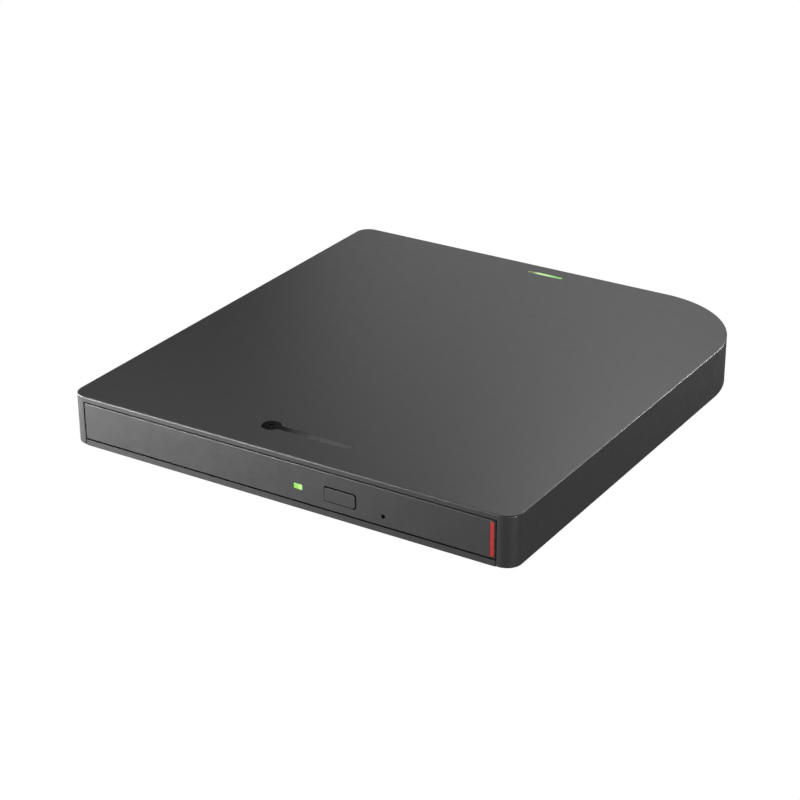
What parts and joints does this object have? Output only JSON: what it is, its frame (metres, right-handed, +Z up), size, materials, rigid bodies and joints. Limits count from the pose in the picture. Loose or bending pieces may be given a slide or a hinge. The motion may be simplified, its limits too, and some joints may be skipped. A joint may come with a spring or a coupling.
{
  "type": "external optical drive",
  "caption": "Flat square external disc drive with one large rounded rear corner, a front bezel with eject button and a sliding disc tray.",
  "frame": {"origin": "on the surface that the feet stand on, under the middle of the case", "axes": "+X to the right seen from the front, +Y to the rear, +Z up; the tray comes out towards -Y"},
  "size_m": [0.145, 0.1544, 0.016],
  "materials": {
    "case_plastic": "fine matte grain",
    "bezel_plastic": "satin",
    "badge_gloss": "high gloss",
    "accent_red": "satin",
    "light_green": "clear, lit from behind",
    "rubber": "matte",
    "tray_plastic": "satin",
    "dark_plastic": "satin",
    "pale_plastic": "satin",
    "sheet_steel": "plain sheet",
    "bright_steel": "polished",
    "die_cast": "as cast",
    "black_screw": "black oxide",
    "board_green": "solder mask",
    "lens_glass": "coated",
    "flex_film": "satin film",
    "foam": "soft open-cell foam"
  },
  "bodies": {
    "case": {"top_cover": "case_plastic", "bottom_cover": "case_plastic", "badge_inlay": "badge_gloss", "status_light_guide": "light_green", "rubber_foot_1": "rubber", "rubber_foot_2": "rubber", "rubber_foot_3": "rubber", "rubber_foot_4": "rubber", "bridge_chip": "dark_plastic", "usb_socket_tongue": "dark_plastic", "sata_receptacle": "dark_plastic", "rail_guide_left": "dark_plastic", "rail_guide_right": "dark_plastic", "sata_plug": "dark_plastic", "drive_chassis": "sheet_steel", "drive_lid": "sheet_steel", "usb_socket_shell": "bright_steel", "case_screw_1": "black_screw", "case_screw_2": "black_screw", "case_screw_3": "black_screw", "case_screw_4": "black_screw", "bridge_board": "board_green", "connector_board": "board_green", "flex_cable_fixed": "flex_film", "foam_pad": "foam"},
    "tray": {"disc_tray": "tray_plastic", "tray_bezel": "bezel_plastic", "accent_bar": "accent_red", "activity_light_guide": "light_green", "button_board": "board_green", "eject_switch": "dark_plastic", "tray_bottom_plate": "sheet_steel", "main_board": "board_green", "main_board_chip": "dark_plastic", "flex_cable_moving": "flex_film", "traverse_frame": "sheet_steel", "traverse_damper_1": "rubber", "traverse_damper_2": "rubber", "traverse_damper_3": "rubber", "guide_shaft_left": "bright_steel", "guide_shaft_right": "bright_steel", "feed_motor": "sheet_steel", "feed_bracket": "sheet_steel", "spindle_motor_base": "sheet_steel", "shield_plate": "sheet_steel", "latch_solenoid": "dark_plastic"},
    "rail_left": {"tray_rail_left": "sheet_steel"},
    "rail_right": {"tray_rail_right": "sheet_steel"},
    "eject_button": {"eject_button": "bezel_plastic"},
    "spindle": {"turntable": "dark_plastic", "turntable_mat": "rubber"},
    "claw_1": {"chuck_claw_1": "pale_plastic"},
    "claw_2": {"chuck_claw_2": "pale_plastic"},
    "claw_3": {"chuck_claw_3": "pale_plastic"},
    "pickup": {"pickup_sled": "die_cast"},
    "lens": {"lens_holder": "dark_plastic", "objective_lens": "lens_glass"},
    "feed_screw": {"lead_screw": "bright_steel"},
    "latch_hook": {"latch_hook": "dark_plastic"},
    "latch_plunger": {"solenoid_plunger": "bright_steel"}
  },
  "joints": [
    {"name": "tray_slide", "type": "slide", "parent": "case", "child": "tray", "axis": [0, -1, 0], "range_m": [0, 0.125]},
    {"name": "rail_left_slide", "type": "slide", "parent": "case", "child": "rail_left", "axis": [0, -1, 0], "range_m": [0, 0.0625]},
    {"name": "rail_right_slide", "type": "slide", "parent": "case", "child": "rail_right", "axis": [0, -1, 0], "range_m": [0, 0.0625]},
    {"name": "eject_button_press", "type": "slide", "parent": "tray", "child": "eject_button", "axis": [0, 1, 0], "range_m": [0, 0.0006], "stiffness_N_per_m": 800},
    {"name": "spindle_spin", "type": "hinge", "parent": "tray", "child": "spindle", "pos_m": [-0.002, -0.0115, 0.0085], "axis": [0, 0, 1], "continuous": true},
    {"name": "claw_1_slide", "type": "slide", "parent": "spindle", "child": "claw_1", "axis": [-0.309, 0.9511, 0], "range_m": [0, 0.0005], "stiffness_N_per_m": 300},
    {"name": "claw_2_slide", "type": "slide", "parent": "spindle", "child": "claw_2", "axis": [-0.6691, -0.7431, 0], "range_m": [0, 0.0005], "stiffness_N_per_m": 300},
    {"name": "claw_3_slide", "type": "slide", "parent": "spindle", "child": "claw_3", "axis": [0.9781, -0.2079, 0], "range_m": [0, 0.0005], "stiffness_N_per_m": 300},
    {"name": "pickup_slide", "type": "slide", "parent": "tray", "child": "pickup", "axis": [-0.6691, -0.7431, 0], "range_m": [0, 0.0345]},
    {"name": "lens_focus", "type": "slide", "parent": "pickup", "child": "lens", "axis": [0, 0, 1], "range_m": [-0.0004, 0.0004], "stiffness_N_per_m": 60},
    {"name": "feed_screw_spin", "type": "hinge", "parent": "tray", "child": "feed_screw", "pos_m": [-0.0084, -0.05149, 0.0077], "axis": [-0.6691, -0.7431, 0], "continuous": true},
    {"name": "latch_hook_swing", "type": "hinge", "parent": "tray", "child": "latch_hook", "pos_m": [0.05, 0.038, 0.0071], "axis": [0, 0, 1], "range_deg": [0, 9]},
    {"name": "latch_plunger_slide", "type": "slide", "parent": "tray", "child": "latch_plunger", "axis": [-1, 0, 0], "range_m": [0, 0.00078], "stiffness_N_per_m": 300}
  ],
  "couplings": [
    {"joint": "rail_left_slide", "follows": "tray_slide", "ratio": 0.5},
    {"joint": "rail_right_slide", "follows": "tray_slide", "ratio": 0.5},
    {"joint": "feed_screw_spin", "follows": "pickup_slide", "rad_per_m": -2094.4},
    {"joint": "latch_hook_swing", "follows": "latch_plunger_slide", "rad_per_m": 200}
  ]
}
